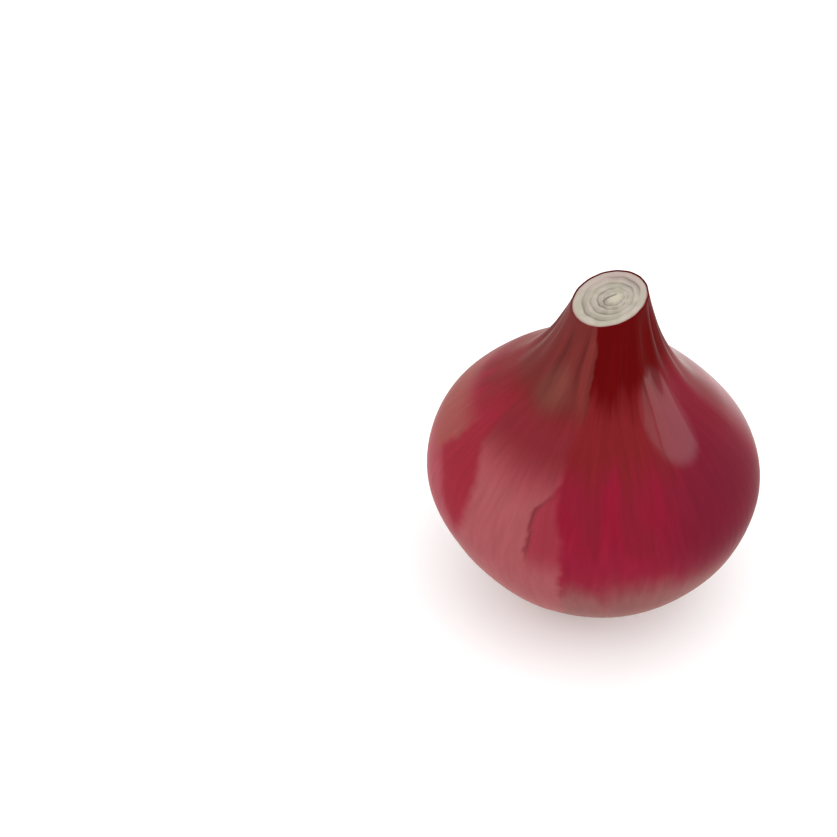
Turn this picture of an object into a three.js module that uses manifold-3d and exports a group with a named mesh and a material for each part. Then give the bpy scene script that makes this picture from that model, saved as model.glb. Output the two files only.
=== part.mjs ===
// A whole red onion, standing on its root tuft. Millimetres, +Z up.
// The origin is the middle of the flat spot under the root tuft.
// +X is to the viewer's right and -Y is towards the viewer.
import * as THREE from 'three';
import { mergeVertices } from 'three/addons/utils/BufferGeometryUtils.js';
import Module from 'manifold-3d';

const wasm = await Module();
wasm.setup();

// Driving dimensions of the bulb
const standHeight = 3.0; // the root tuft holds the bulb this far off the surface
const cutHeight = 80.5; // the middle of the neck's cut, above the bulb's own base
const neckFoot = 56; // where the shoulder turns up into the neck
const neckTaper = 0.36; // how much radius the neck loses for each mm it climbs
const cutRise = { right: 0.289, back: 0.176 }; // slope of the cut, which is lowest at the left
const rimThickness = 0.5; // dry skin that stands round the cut
const seatDepth = 3.0; // how far the pale scale ends reach down inside the rim
const seam = 0.3; // space between pieces that lie against each other

// The bulb's side from base to cut, as radius and height above its base
const side = [
  [0, 0.6], [5.8, 0.1], [13.4, 0.9], [21.8, 4.1], [30.1, 10.9], [36.8, 21.1], [40.0, 32.6],
  [37.9, 41.4], [30.4, 49.9], [22.1, 56.8], [17.5, 61.3], [13.0, 67.4], [9.8, 74.0], [7.7, cutHeight],
];

// How the grown bulb differs from a turned one
const sway = [ // how far the middle of the bulb lies to the right of its base, by height
  { height: 0, right: 0 },
  { height: 12, right: 1.3 },
  { height: 33, right: -0.4 },
  { height: 60, right: -0.4 },
  { height: cutHeight, right: 0.4 },
];
const backLean = 1.5; // how far the cut's middle lies behind the base
const ovalness = 0.013; // share by which the belly is deeper than it is wide
const lobes = [
  { count: 3, height: 0.25, turn: 0.93 },
  { count: 5, height: 0.12, turn: 2.1 },
  { count: 8, height: 0.08, turn: 4.4 },
];

// Folds of dry skin gathered into the neck. Angle and width are degrees round the neck, height is
// how far a fold stands out and foot is the height above the base where it has run out.
const folds = [
  { angle: -170, width: 12, height: 0.75, foot: 50 },
  { angle: -148, width: 9, height: 0.6, foot: 46 },
  { angle: -128, width: 8, height: 0.85, foot: 34 },
  { angle: -112, width: 6, height: 0.7, foot: 38 },
  { angle: -88, width: 7, height: 0.4, foot: 52 },
  { angle: -62, width: 9, height: 0.55, foot: 44 },
  { angle: -36, width: 8, height: 0.7, foot: 50 },
  { angle: -14, width: 7, height: 0.85, foot: 40 },
];
const backFolds = { from: 8, to: 172, count: 8, width: 8, height: 0.65, foot: 46, seed: 7 };

// Driving dimensions of the cut scale ends
const rings = { count: 5, height: 0.24, wander: 0.35 };
const eye = { right: 0.9, back: -0.7 }; // the middle of the rings lies off the neck's middle

// Driving dimensions of the root tuft
const plateRadius = 6.4; // root plate that the roots grow from
const flatRadius = 4.8; // flat spot that the onion rests on
const rootCount = 52;
const rootBase = 0.7; // radius of a root where it leaves the plate
const rootTip = 0.36;
const rootReach = { least: 1.4, most: 4.4 }; // how far a root stands out of the plate
const rootSwing = 2.4; // how far its end may turn sideways
const rootLift = 0.12; // roots stay this far off the surface
const rootSides = 4;
const rootSteps = 3;
const rootSeed = 23;

// How finely the solids are divided
const skinTurns = 84;
const skinRows = 36;
const fleshTurns = 56;
const fleshRows = 20;

const { smoothstep, degToRad, seededRandom, lerp } = THREE.MathUtils;

// The shortest way round from one angle to another, from -180 to 180 degrees.
function turnBetween(a, b) {
  return THREE.MathUtils.euclideanModulo(a - b + 180, 360) - 180;
}

// How far the bulb's middle lies to the right of its base at a height.
function swayAt(height) {
  const above = Math.max(1, sway.findIndex((stop) => stop.height >= height));
  const [low, high] = [sway[above - 1], sway[above]];
  return lerp(low.right, high.right, smoothstep(height, low.height, high.height));
}

// Folds on the side away from the viewer, spaced by a seeded rule.
function foldsBehind() {
  seededRandom(backFolds.seed);
  const step = (backFolds.to - backFolds.from) / (backFolds.count - 1);
  return Array.from({ length: backFolds.count }, (_, i) => ({
    angle: backFolds.from + step * (i + 0.4 * (seededRandom() - 0.5)),
    width: backFolds.width * lerp(0.8, 1.3, seededRandom()),
    height: backFolds.height * lerp(0.6, 1.3, seededRandom()),
    foot: backFolds.foot + lerp(-8, 8, seededRandom()),
  }));
}

const allFolds = [...folds, ...foldsBehind()];

// How far the folds stand out of the skin at a height and an angle in radians.
function foldRelief(height, azimuth) {
  const turn = THREE.MathUtils.radToDeg(azimuth);
  let out = 0;
  for (const fold of allFolds) {
    const across = turnBetween(turn, fold.angle) / fold.width;
    const along = smoothstep(height, fold.foot, cutHeight - 8);
    out += fold.height * along * Math.exp(-across * across);
  }
  return out;
}

// The broad lobes of the scales inside, felt through the skin of the belly.
function lobeRelief(height, azimuth) {
  const share = smoothstep(height, 2, 14) * (1 - smoothstep(height, 52, 66));
  return share * lobes.reduce((out, lobe) => out + lobe.height * Math.cos(lobe.count * azimuth + lobe.turn), 0);
}

// Places a point of the turned outline on the grown onion.
function grown(radius, height, azimuth) {
  const share = smoothstep(height, neckFoot, cutHeight - seatDepth);
  const rise = share * (cutRise.right * Math.cos(azimuth) + cutRise.back * Math.sin(azimuth));
  const belly = smoothstep(height, 0, 12) * (1 - smoothstep(height, 50, cutHeight));
  const grip = Math.min(1, radius / (side.at(-1)[0] - rimThickness - seam));
  let reach = radius * (1 - belly * ovalness * Math.cos(2 * azimuth));
  reach += grip * (foldRelief(height, azimuth) + lobeRelief(height, azimuth));
  reach /= 1 + neckTaper * rise;
  return new THREE.Vector3(
    reach * Math.cos(azimuth) + swayAt(Math.min(height, cutHeight)),
    reach * Math.sin(azimuth) + (backLean * height) / cutHeight,
    standHeight + height + rise * reach,
  );
}

// Turns an outline round the Z axis and grows it. relief raises a point along Z.
function grownLathe(outline, turns, relief = () => 0) {
  const geometry = new THREE.LatheGeometry(outline, turns);
  geometry.rotateX(Math.PI / 2);
  const position = geometry.attributes.position;
  for (let i = 0; i < position.count; i += 1) {
    const x = position.getX(i);
    const y = position.getY(i);
    const radius = Math.hypot(x, y);
    const azimuth = radius > 1e-6 ? Math.atan2(y, x) : 0;
    const point = grown(radius, position.getZ(i), azimuth);
    position.setXYZ(i, point.x, point.y, point.z + relief(radius, azimuth));
  }
  return closed(geometry);
}

// Keeps only positions and merges the shared vertices.
function closed(geometry) {
  geometry.deleteAttribute('normal');
  geometry.deleteAttribute('uv');
  return mergeVertices(geometry, 1e-4);
}

// Bulb: base, belly, shoulder and neck, then over the rim and down into the seat.
const sideCurve = new THREE.SplineCurve(side.map(([radius, height]) => new THREE.Vector2(radius, height)));
const rimRadius = side.at(-1)[0];
const seatRadius = rimRadius - rimThickness;
const seatWallSlope = neckTaper * seatDepth;
const bulbOutline = [
  ...sideCurve.getSpacedPoints(skinRows),
  new THREE.Vector2(seatRadius, cutHeight),
  new THREE.Vector2(seatRadius + seatWallSlope, cutHeight - seatDepth),
  new THREE.Vector2(0, cutHeight - seatDepth),
];

// Cut scale ends: a plug in the seat, with rings on its face.
function ringRelief(radius, azimuth) {
  const edge = seatRadius - seam;
  const dx = radius * Math.cos(azimuth) - eye.right * (1 - radius / edge);
  const dy = radius * Math.sin(azimuth) - eye.back * (1 - radius / edge);
  const out = Math.hypot(dx, dy) / edge;
  const around = Math.atan2(dy, dx);
  const uneven = (rings.wander * Math.sin(2 * around + 5 * out)) / rings.count;
  const fade = smoothstep(out, 0.02, 0.2) * (1 - smoothstep(out, 0.9, 1));
  return -rings.height * fade * 0.5 * (1 - Math.cos(2 * Math.PI * rings.count * (out + uneven * out * (1 - out))));
}

const fleshRadius = seatRadius - seam;
const fleshFloor = cutHeight - seatDepth + seam;
const fleshOutline = [
  new THREE.Vector2(0, fleshFloor),
  new THREE.Vector2(fleshRadius + seatWallSlope - neckTaper * seam, fleshFloor),
];
for (let i = 0; i <= fleshRows; i += 1) {
  fleshOutline.push(new THREE.Vector2(fleshRadius * (1 - i / fleshRows), cutHeight));
}

// A closed geometry as a solid that can be joined with others.
function solid(geometry) {
  const mesh = new wasm.Mesh({
    numProp: 3,
    vertProperties: new Float32Array(geometry.attributes.position.array),
    triVerts: new Uint32Array(geometry.index.array),
  });
  return new wasm.Manifold(mesh);
}

// A joined solid as a geometry again.
function geometryOf(joined) {
  const { vertProperties, triVerts } = joined.getMesh();
  const geometry = new THREE.BufferGeometry();
  geometry.setAttribute('position', new THREE.BufferAttribute(vertProperties, 3));
  geometry.setIndex(new THREE.BufferAttribute(triVerts, 1));
  return geometry;
}

// One root: a tapered stalk swept from inside the plate, out and down to the surface.
function root(azimuth, startHeight, reach, swing) {
  const outward = new THREE.Vector3(Math.cos(azimuth), Math.sin(azimuth), 0);
  const sideways = new THREE.Vector3(-Math.sin(azimuth), Math.cos(azimuth), 0);
  const start = outward.clone().multiplyScalar(plateRadius - 2.8).setZ(startHeight);
  const bend = outward.clone().multiplyScalar(plateRadius + 0.35 * reach).setZ(startHeight * 0.9);
  const end = outward.clone().multiplyScalar(plateRadius + reach);
  end.addScaledVector(sideways, swing).setZ(rootTip + rootLift + 0.3 * startHeight);
  const path = new THREE.QuadraticBezierCurve3(start, bend, end);
  const stalk = new THREE.CylinderGeometry(rootTip, rootBase, 1, rootSides, rootSteps);
  stalk.translate(0, 0.5, 0);
  const position = stalk.attributes.position;
  for (let i = 0; i < position.count; i += 1) {
    const along = position.getY(i);
    const forward = path.getTangent(along);
    const level = new THREE.Vector3(forward.y, -forward.x, 0).normalize();
    const up = new THREE.Vector3().crossVectors(level, forward).normalize();
    const point = path.getPoint(along);
    point.addScaledVector(level, position.getX(i)).addScaledVector(up, position.getZ(i));
    position.setXYZ(i, point.x, point.y, Math.max(point.z, rootLift));
  }
  return closed(stalk);
}

// Root tuft: a plate with a flat underside, and roots joined to it.
const plateTop = standHeight + side[1][1] - seam;
const plateOutline = [
  [0, 0], [flatRadius, 0], [plateRadius - 0.5, 0.8], [plateRadius, 1.7], [plateRadius - 1, plateTop], [0, plateTop],
];
const plate = new THREE.LatheGeometry(plateOutline.map(([radius, height]) => new THREE.Vector2(radius, height)), 30);
plate.rotateX(Math.PI / 2);
let tuft = solid(closed(plate));
seededRandom(rootSeed);
for (let i = 0; i < rootCount; i += 1) {
  const azimuth = degToRad(137.508 * i);
  const startHeight = lerp(0.9, plateTop - 0.9, seededRandom());
  const reach = lerp(rootReach.least, rootReach.most, seededRandom());
  const swing = lerp(-rootSwing, rootSwing, seededRandom());
  tuft = tuft.add(solid(root(azimuth, startHeight, reach, swing)));
}

// Colours and finish
const redSkin = new THREE.MeshStandardMaterial({ color: 0x8e1a30, roughness: 0.32, metalness: 0 });
const paleFlesh = new THREE.MeshStandardMaterial({ color: 0xd8cdbb, roughness: 0.55, metalness: 0 });
const dryRoot = new THREE.MeshStandardMaterial({ color: 0x5a5f50, roughness: 0.9, metalness: 0 });

// A named piece of the onion.
function piece(name, geometry, material) {
  const mesh = new THREE.Mesh(geometry, material);
  mesh.name = name;
  return mesh;
}

const onion = new THREE.Group();
onion.name = 'onion';
onion.add(piece('bulb', grownLathe(bulbOutline, skinTurns), redSkin));
onion.add(piece('neck_flesh', grownLathe(fleshOutline, fleshTurns, ringRelief), paleFlesh));
onion.add(piece('root_tuft', geometryOf(tuft), dryRoot));

export default onion;
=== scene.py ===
"""A whole red onion on a pale table, standing on its root tuft.

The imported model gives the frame. This script makes the fine surfaces that stand for its three solids:
the dry skin with its folds and veins, the cut ends of the scales, and the tuft of dry roots.
Sizes are in millimetres until a mesh is made, and every mesh is in metres.
"""

import logging
import math
from dataclasses import dataclass, field

import bpy
import numpy as np
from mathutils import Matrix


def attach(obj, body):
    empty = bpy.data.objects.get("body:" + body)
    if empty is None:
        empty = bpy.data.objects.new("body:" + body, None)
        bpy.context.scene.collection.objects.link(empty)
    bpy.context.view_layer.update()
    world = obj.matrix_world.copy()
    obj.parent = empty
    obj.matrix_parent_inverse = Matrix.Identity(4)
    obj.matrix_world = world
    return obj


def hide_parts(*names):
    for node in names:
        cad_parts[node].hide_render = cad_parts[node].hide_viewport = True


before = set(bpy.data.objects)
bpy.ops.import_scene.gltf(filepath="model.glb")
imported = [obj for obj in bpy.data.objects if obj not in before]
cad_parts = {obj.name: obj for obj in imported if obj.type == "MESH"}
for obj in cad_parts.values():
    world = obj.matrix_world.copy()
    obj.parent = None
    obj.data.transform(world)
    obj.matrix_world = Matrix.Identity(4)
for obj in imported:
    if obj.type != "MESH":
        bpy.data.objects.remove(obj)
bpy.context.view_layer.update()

MM = 0.001
GOLDEN_TURN = math.radians(137.508)
MIX_FIRST = 6  # the place of a mix node's first colour among its inputs
MIX_SECOND = 7
MIX_RESULT = 2  # the place of the mixed colour among its outputs
log = logging.getLogger("onion")

Colour = tuple[float, float, float, float]
Faces = list[tuple[int, ...]]
Span = tuple[float, float]
Stops = tuple[Span, ...]
Triple = tuple[float, float, float]
Sockets = dict[str, bpy.types.NodeSocket]


def linear(hex_colour: str) -> Colour:
    """Turns an sRGB hex colour into the linear colour that a shader takes.

    Args:
        hex_colour: Six hex digits, such as "8e1a30".

    Returns:
        Red, green, blue and alpha, linear.
    """
    channels = [int(hex_colour[i : i + 2], 16) / 255 for i in (0, 2, 4)]
    bent = [c / 12.92 if c <= 0.04045 else ((c + 0.055) / 1.055) ** 2.4 for c in channels]
    return (bent[0], bent[1], bent[2], 1.0)


def smoothstep(value: np.ndarray, low: float, high: float) -> np.ndarray:
    """Rises smoothly from 0 at low to 1 at high.

    Args:
        value: Numbers to place on the step.
        low: Where the step starts.
        high: Where the step ends.

    Returns:
        The step's height at each number.
    """
    share = np.clip((value - low) / (high - low), 0.0, 1.0)
    return share * share * (3 - 2 * share)


def turn_between(angle: np.ndarray, other: np.ndarray | float) -> np.ndarray:
    """Gives the shortest way round from one angle to another, in degrees from -180 to 180."""
    return np.mod(angle - other + 180, 360) - 180


def add_node(
    tree: bpy.types.NodeTree,
    kind: str,
    settings: dict[str, object] | None = None,
    inputs: dict[str | int, object] | None = None,
) -> bpy.types.Node:
    """Adds a node with its settings, and fills or links its inputs.

    Args:
        tree: The material's node tree.
        kind: Blender's name for the node.
        settings: Properties of the node.
        inputs: A value, or another node's output socket, for each input by name or place.

    Returns:
        The new node.
    """
    node = tree.nodes.new(kind)
    for name, value in (settings or {}).items():
        setattr(node, name, value)
    for name, value in (inputs or {}).items():
        if isinstance(value, bpy.types.NodeSocket):
            tree.links.new(value, node.inputs[name])
        else:
            node.inputs[name].default_value = value
    return node


def new_material(name: str) -> tuple[bpy.types.Material, bpy.types.NodeTree, bpy.types.Node]:
    """Makes a material, and gives it with its node tree and its shader."""
    material = bpy.data.materials.new(name)
    material.use_nodes = True
    return material, material.node_tree, material.node_tree.nodes["Principled BSDF"]


@dataclass(frozen=True)
class Crease:
    """A fold of the skin that runs down from the cut.

    Attributes:
        top: Degrees round the neck at the cut.
        foot: Degrees round the neck where the fold runs out.
        width: Half width in degrees.
        height: How far it stands out, in mm, and negative where it sinks in.
        end: Height above the base where it has run out, in mm.
        start: Height where it is at full strength, in mm.
        drop: How much steeper its side towards +azimuth is.
    """

    top: float
    foot: float
    width: float
    height: float
    end: float
    start: float = 72.5
    drop: float = 1.0


@dataclass(frozen=True)
class BulbForm:
    """The grown shape that the skin and the cut follow.

    Sizes are in mm, and heights are above the bulb's base, which stands on the root tuft. The cut
    rises by a share of the way out to the right and to the back, and the neck leans into that slant
    from its foot up to the seat of the scales.
    """

    stand_height: float = 3.0
    cut_height: float = 80.5
    neck_foot: float = 56.0
    neck_taper: float = 0.36
    cut_rise_right: float = 0.289
    cut_rise_back: float = 0.176
    seat_depth: float = 3.0
    rim_radius: float = 7.7
    # folds and relief die away inside this radius, towards the middle of the cut
    grip_radius: float = 6.9
    back_lean: float = 1.5
    ovalness: float = 0.013
    # radius and height of points up the side, from the base to the cut
    side: Stops = (
        (0, 0.6), (5.8, 0.1), (13.4, 0.9), (21.8, 4.1), (30.1, 10.9), (36.8, 21.1), (40.0, 32.6),
        (37.9, 41.4), (30.4, 49.9), (22.1, 56.8), (17.5, 61.3), (13.0, 67.4), (9.8, 74.0), (7.7, 80.5),
    )
    side_steps: int = 24
    # height, and how far the middle lies to the right there
    sway: Stops = ((0, 0), (12, 1.3), (33, -0.4), (60, -0.4), (80.5, 0.4))
    oval_starts: Span = (0, 12)
    oval_fades_from: float = 50.0
    # how many lobes there are round the bulb, how far they stand out in mm, and their turn in radians
    lobes: tuple[tuple[int, float, float], ...] = ((3, 0.25, 0.93), (5, 0.12, 2.1), (8, 0.08, 4.4))
    lobes_start: Span = (2, 14)
    lobes_end: Span = (52, 66)
    # the folds calm down from this height up to the cut, to a share of their height on a low swell
    calm_from: float = 73.0
    fold_calm: float = 0.12
    fold_calm_swell: float = 0.34
    folds: tuple[Crease, ...] = (
        Crease(-170, -170, 12, 0.75, 50), Crease(-148, -148, 9, 0.6, 46), Crease(-128, -128, 8, 0.85, 34),
        Crease(-112, -112, 6, 0.7, 38), Crease(-88, -88, 7, 0.4, 52), Crease(-62, -62, 9, 0.55, 44),
        Crease(-36, -36, 8, 0.7, 50), Crease(-14, -14, 7, 0.85, 40),
        Crease(7, 7, 9.0, 0.7, 46), Crease(32, 32, 8.0, 0.55, 42), Crease(55, 55, 9.5, 0.75, 50),
        Crease(79, 79, 7.5, 0.6, 44), Crease(101, 101, 9.0, 0.7, 48), Crease(125, 125, 8.0, 0.5, 40),
        Crease(148, 148, 9.0, 0.75, 46), Crease(171, 171, 8.0, 0.6, 50),
    )

    def side_curve(self, count: int) -> np.ndarray:
        """Gives evenly spaced points down a smooth curve through the side's points.

        Args:
            count: How many points to give.

        Returns:
            Radius and height of each point, from the base to the cut.
        """
        stops = np.array(self.side, float)
        before = np.vstack([stops[:1], stops[:-1]])[:-1]
        after = np.vstack([stops[2:], stops[-1:]])
        share = np.linspace(0, 1, self.side_steps, endpoint=False)[:, None, None]
        start, end = stops[:-1], stops[1:]
        lead, trail = (end - before) / 2, (after - start) / 2
        path = (
            (2 * start - 2 * end + lead + trail) * share**3
            + (-3 * start + 3 * end - 2 * lead - trail) * share**2
            + lead * share
            + start
        )
        points = np.vstack([path.transpose(1, 0, 2).reshape(-1, 2), stops[-1:]])
        length = np.concatenate([[0], np.cumsum(np.hypot(*np.diff(points, axis=0).T))])
        even = np.linspace(0, length[-1], count)
        return np.stack([np.interp(even, length, points[:, 0]), np.interp(even, length, points[:, 1])], 1)

    def crease_relief(
        self, creases: tuple[Crease, ...], height: np.ndarray, turn: np.ndarray
    ) -> np.ndarray:
        """Adds up how far creases stand out.

        Args:
            creases: The creases.
            height: Height above the base in mm.
            turn: Angle round the bulb in degrees.

        Returns:
            Relief in mm.
        """
        relief = np.zeros(np.broadcast(height, turn).shape)
        for crease in creases:
            along = smoothstep(height, crease.end, crease.start)
            away = turn_between(turn, crease.foot + (crease.top - crease.foot) * along) / crease.width
            away = np.where(away > 0, away * crease.drop, away)
            relief += crease.height * along * np.exp(-(away**2))
        return relief

    def fold_relief(self, height: np.ndarray, turn: np.ndarray) -> np.ndarray:
        """Gives the relief of the folds, which the cut scales hold out smooth and round at the rim.

        Args:
            height: Height above the base in mm.
            turn: Angle round the bulb in degrees.

        Returns:
            Relief in mm.
        """
        near_rim = smoothstep(height, self.calm_from, self.cut_height)
        folds = self.crease_relief(self.folds, height, turn)
        return folds * (1 - (1 - self.fold_calm) * near_rim) + self.fold_calm_swell * near_rim

    def lobe_relief(self, height: np.ndarray, azimuth: np.ndarray) -> np.ndarray:
        """Gives the broad lobes of the scales inside, felt through the skin, in mm."""
        share = smoothstep(height, *self.lobes_start) * (1 - smoothstep(height, *self.lobes_end))
        return share * sum(tall * np.cos(count * azimuth + turn) for count, tall, turn in self.lobes)

    def sway_at(self, height: np.ndarray) -> np.ndarray:
        """Gives how far the bulb's middle lies to the right of its base, in mm."""
        out = np.zeros_like(height)
        for (low, at_low), (high, at_high) in zip(self.sway, self.sway[1:]):
            out += (at_high - at_low) * smoothstep(height, low, high)
        return out

    def rise_at(self, height: np.ndarray, azimuth: np.ndarray) -> np.ndarray:
        """Gives how much each mm out from the middle rises towards the slanting cut."""
        share = smoothstep(height, self.neck_foot, self.cut_height - self.seat_depth)
        return share * (self.cut_rise_right * np.cos(azimuth) + self.cut_rise_back * np.sin(azimuth))

    def place(
        self, radius: np.ndarray, height: np.ndarray, azimuth: np.ndarray, relief: np.ndarray
    ) -> np.ndarray:
        """Places points of the turned outline on the grown onion.

        Args:
            radius: Radius of the turned outline in mm.
            height: Height above the bulb's base in mm.
            azimuth: Angle round the bulb in radians.
            relief: Further relief of the skin in mm.

        Returns:
            The points in mm, in the frame of the part.
        """
        rise = self.rise_at(height, azimuth)
        belly = smoothstep(height, *self.oval_starts)
        belly = belly * (1 - smoothstep(height, self.oval_fades_from, self.cut_height))
        grip = np.minimum(1, radius / self.grip_radius)
        folds = self.fold_relief(height, np.degrees(azimuth))
        reach = radius * (1 - belly * self.ovalness * np.cos(2 * azimuth))
        reach = reach + grip * (folds + self.lobe_relief(height, azimuth) + relief)
        reach = reach / (1 + self.neck_taper * rise)
        right = reach * np.cos(azimuth) + self.sway_at(height)
        back = reach * np.sin(azimuth) + self.back_lean * height / self.cut_height
        return np.stack([right, back, self.stand_height + height + rise * reach], -1)


def mesh_piece(name: str, points: np.ndarray, faces: Faces) -> bpy.types.Object:
    """Makes a smooth mesh object.

    Args:
        name: The piece's name.
        points: Points in mm.
        faces: Faces as tuples of point numbers.

    Returns:
        The new object, linked to the scene.
    """
    mesh = bpy.data.meshes.new(name)
    mesh.from_pydata((points * MM).tolist(), [], faces)
    mesh.polygons.foreach_set("use_smooth", np.ones(len(faces), bool))
    mesh.update()
    piece = bpy.data.objects.new(name, mesh)
    bpy.context.scene.collection.objects.link(piece)
    return piece


def ring_faces(rings: int, around: int) -> Faces:
    """Gives the faces of a closed turned body whose first and last rings are single points.

    Args:
        rings: How many rings it has, with the two single points.
        around: How many points a full ring has.

    Returns:
        Faces that point outwards, for points listed from the first ring to the last.
    """
    last = 1 + (rings - 2) * around
    faces: Faces = []
    for i in range(around):
        j = (i + 1) % around
        faces.append((0, 1 + j, 1 + i))
        for ring in range(rings - 3):
            low, high = 1 + ring * around, 1 + (ring + 1) * around
            faces.append((low + i, low + j, high + j, high + i))
        faces.append((last - around + i, last - around + j, last))
    return faces


def single_poles(rings: np.ndarray) -> np.ndarray:
    """Turns rings of values into a list whose first and last rings are single rows."""
    middle = rings[1:-1].reshape(-1, *rings.shape[2:])
    return np.concatenate([rings[:1].mean(1), middle, rings[-1:].mean(1)])


def set_field(piece: bpy.types.Object, name: str, values: np.ndarray) -> None:
    """Stores one number or one vector for each point of a mesh, for its material to read.

    Args:
        piece: The mesh object.
        name: The field's name.
        values: One row for each point of the mesh.
    """
    vector = values.ndim == 2
    attribute = piece.data.attributes.new(name, "FLOAT_VECTOR" if vector else "FLOAT", "POINT")
    attribute.data.foreach_set("vector" if vector else "value", values.astype(np.float32).ravel())


@dataclass(frozen=True)
class Tone:
    """A colour that the skin takes over a stretch of its height.

    Attributes:
        colour: sRGB hex colour.
        gone: Height in mm where it has faded out.
        full: Height in mm from which it covers all.
    """

    colour: str
    gone: float
    full: float


@dataclass(frozen=True)
class Pattern:
    """Marks that are stretched along the way the skin grew.

    Attributes:
        spacing: Mm from one mark to the next, round the belly. They draw together at the neck.
        length: Mm from one mark to the next, along the skin.
        detail: How many finer layers of marks lie in them.
    """

    spacing: float
    length: float
    detail: float


@dataclass(frozen=True)
class Patch:
    """A soft-edged stretch of skin.

    Attributes:
        turn: Its middle, in degrees round the bulb.
        height: Its middle, in mm above the base.
        wide: Half width in degrees.
        tall: Half height in mm.
        soft: How much of its half size its edge takes.
    """

    turn: float
    height: float
    wide: float
    tall: float
    soft: float = 0.6

    def share(self, height: np.ndarray, turn: np.ndarray) -> np.ndarray:
        """Gives how far the patch covers each point, from 0 to 1.

        Args:
            height: Height above the base in mm.
            turn: Angle round the bulb in degrees.

        Returns:
            The share at each point.
        """
        away = np.hypot(turn_between(turn, self.turn) / self.wide, (height - self.height) / self.tall)
        return 1 - smoothstep(away, 1 - self.soft / 2, 1 + self.soft / 2)


@dataclass(frozen=True)
class Strip:
    """A stretch of skin between two edges that run down the bulb.

    Attributes:
        left: Height in mm and degrees round the bulb of points up its left edge.
        right: The same for its right edge.
        soft_left: How many degrees its left edge takes to fade.
        soft_right: The same for its right edge.
        low: Heights in mm where it starts and where it is full.
        high: Heights in mm where it starts to fade and where it is gone.
        ragged: How many degrees its two edges wander together.
    """

    left: Stops
    right: Stops
    soft_left: float
    soft_right: float
    low: Span
    high: Span
    ragged: float = 0.5

    def share(self, height: np.ndarray, turn: np.ndarray) -> np.ndarray:
        """Gives how far the strip covers each point, from 0 to 1.

        Args:
            height: Height above the base in mm.
            turn: Angle round the bulb in degrees.

        Returns:
            The share at each point.
        """
        left, right = np.array(self.left, float), np.array(self.right, float)
        ragged = self.ragged * (0.6 * np.sin(1.1 * height) + 0.4 * np.sin(2.7 * height + 1))
        from_left = turn_between(turn, np.interp(height, left[:, 0], left[:, 1]) + ragged)
        from_right = turn_between(turn, np.interp(height, right[:, 0], right[:, 1]) + ragged)
        share = smoothstep(from_left, -self.soft_left / 2, self.soft_left / 2)
        share = share * (1 - smoothstep(from_right, -self.soft_right / 2, self.soft_right / 2))
        return share * smoothstep(height, *self.low) * (1 - smoothstep(height, *self.high))


@dataclass(frozen=True)
class StainAndPaintedLight:
    """A stretch of skin of another colour: some are stains of the skin itself, and some also carry painted
    reflections, painted shade and a painted shadow.

    Attributes:
        name: The field that says where it lies.
        colour: sRGB hex colour.
        place: Where it lies.
    """

    name: str
    colour: str
    place: Patch | Strip


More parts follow.
